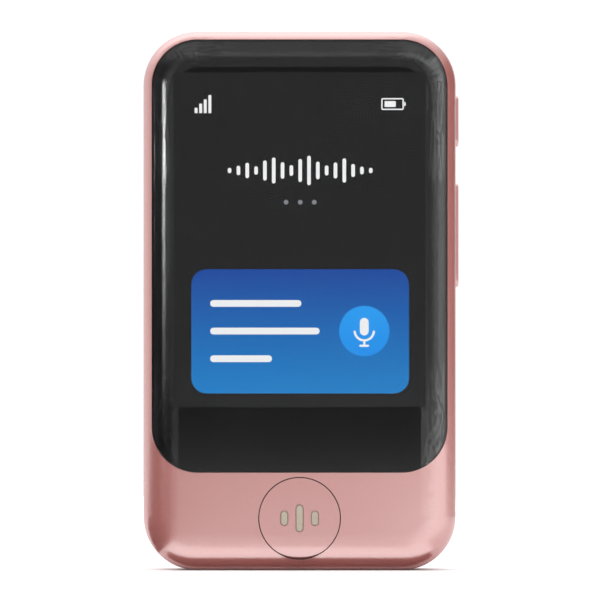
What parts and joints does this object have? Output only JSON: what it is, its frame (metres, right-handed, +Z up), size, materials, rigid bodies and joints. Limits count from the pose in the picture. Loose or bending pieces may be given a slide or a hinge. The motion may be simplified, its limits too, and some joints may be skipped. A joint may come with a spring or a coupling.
{
  "type": "handheld voice translator",
  "caption": "Pocket voice translator: slim rounded slab with a glass front, a round push-to-talk button below the screen, side keys and a card tray.",
  "frame": {"origin": "middle of the flat bottom edge, halfway through the body's depth", "axes": "+Z up the height from the chin to the top edge, screen faces -Y, +X to the right as the user sees the screen"},
  "size_m": [0.0537, 0.0116, 0.0916],
  "materials": {
    "rose_gold_housing": "pearl rose-gold paint under a clear coat on moulded plastic",
    "rose_gold_key": "rose-gold anodised and lacquered metal",
    "tray_metal": "rose-gold anodised aluminium",
    "cover_glass": "clear polished front glass",
    "glass_ink": "black screen-printed ink",
    "clear_layer": "clear sheet",
    "lit_panel": "lit colour display panel",
    "white_plastic": "white moulded plastic",
    "light_guide": "milky light-guide plastic",
    "foam_tape": "black foam tape",
    "amber_film": "amber film of flat cables",
    "board": "green solder mask on glass-fibre board",
    "black_plastic": "black moulded plastic",
    "sheet_steel": "bright sheet steel",
    "screw_steel": "blackened steel",
    "gold_contact": "gold-plated copper alloy",
    "silver_can": "bright metal can",
    "rubber": "soft black rubber",
    "card": "white card plastic",
    "camera_black": "black camera housing",
    "camera_ring": "rose-gold anodised aluminium, turned",
    "camera_glass": "dark coated glass",
    "flash_lens": "clear ribbed lens",
    "led": "phosphor over a light-emitting chip",
    "battery_foil": "matt aluminium laminate"
  },
  "bodies": {
    "case": {"front_housing": "rose_gold_housing", "back_cover": "rose_gold_housing", "cover_glass": "cover_glass", "glass_ink": "glass_ink", "glass_tape": "foam_tape", "camera_ring": "camera_ring", "camera_window": "camera_glass", "flash_lens": "flash_lens", "speaker_mesh": "sheet_steel", "strap_bar": "sheet_steel", "usb_shell": "sheet_steel", "usb_tongue": "black_plastic", "usb_contacts": "gold_contact", "optical_adhesive": "clear_layer", "touch_sensor": "clear_layer", "lcd_panel": "lit_panel", "backlight_unit": "white_plastic", "display_flex": "amber_film", "chassis_plate": "sheet_steel", "main_board": "board", "front_shield_can": "sheet_steel", "rear_shield_can": "sheet_steel", "main_chips": "black_plastic", "main_connectors": "black_plastic", "sub_board": "board", "sub_connectors": "black_plastic", "link_flex": "amber_film", "screws": "screw_steel", "talk_dome": "sheet_steel", "talk_leds": "led", "light_collar": "white_plastic", "power_dome": "sheet_steel", "volume_domes": "sheet_steel", "key_flex": "amber_film", "key_bracket": "sheet_steel", "sim_socket": "sheet_steel", "sim_contacts": "gold_contact", "lever_rivet": "sheet_steel", "camera_module": "camera_black", "flash_led": "led", "top_microphone": "silver_can", "top_mic_boot": "rubber", "bottom_microphone": "silver_can", "bottom_mic_boot": "rubber", "speaker": "black_plastic", "speaker_gasket": "rubber", "antenna_carrier": "black_plastic", "antenna_track": "gold_contact", "battery_cell": "battery_foil", "battery_circuit": "black_plastic", "battery_lead": "amber_film", "battery_tape": "foam_tape"},
    "talk_key": {"talk_button": "rose_gold_key", "talk_light_guide": "light_guide"},
    "power": {"power_key": "rose_gold_key"},
    "volume": {"volume_rocker": "rose_gold_key"},
    "card_tray": {"sim_tray": "tray_metal", "sim_card": "card"},
    "rod": {"eject_rod": "sheet_steel"},
    "lever": {"eject_lever": "sheet_steel"}
  },
  "joints": [
    {"name": "talk_button_press", "type": "slide", "parent": "case", "child": "talk_key", "axis": [0, 1, 0], "range_m": [0, 0.0003], "stiffness_N_per_m": 4000, "deforming": ["talk_dome"]},
    {"name": "power_key_press", "type": "slide", "parent": "case", "child": "power", "axis": [-1, 0, 0], "range_m": [0, 0.0003], "stiffness_N_per_m": 4000, "deforming": ["power_dome"]},
    {"name": "volume_rocker_tilt", "type": "hinge", "parent": "case", "child": "volume", "pos_m": [0.0249, 0.0001, 0.057], "axis": [0, 1, 0], "range_deg": [-2.2, 2.2], "stiffness_Nm_per_rad": 0.2, "deforming": ["volume_domes"]},
    {"name": "sim_tray_slide", "type": "slide", "parent": "case", "child": "card_tray", "axis": [-1, 0, 0], "range_m": [0, 0.0172]},
    {"name": "eject_rod_press", "type": "slide", "parent": "case", "child": "rod", "axis": [1, 0, 0], "range_m": [0, 0.0004]},
    {"name": "eject_lever_turn", "type": "hinge", "parent": "case", "child": "lever", "pos_m": [-0.00805, 0.0006, 0.0795], "axis": [0, 1, 0], "range_deg": [0, 7.64]}
  ],
  "couplings": [
    {"joint": "eject_lever_turn", "follows": "eject_rod_press", "rad_per_m": 333.33}
  ]
}
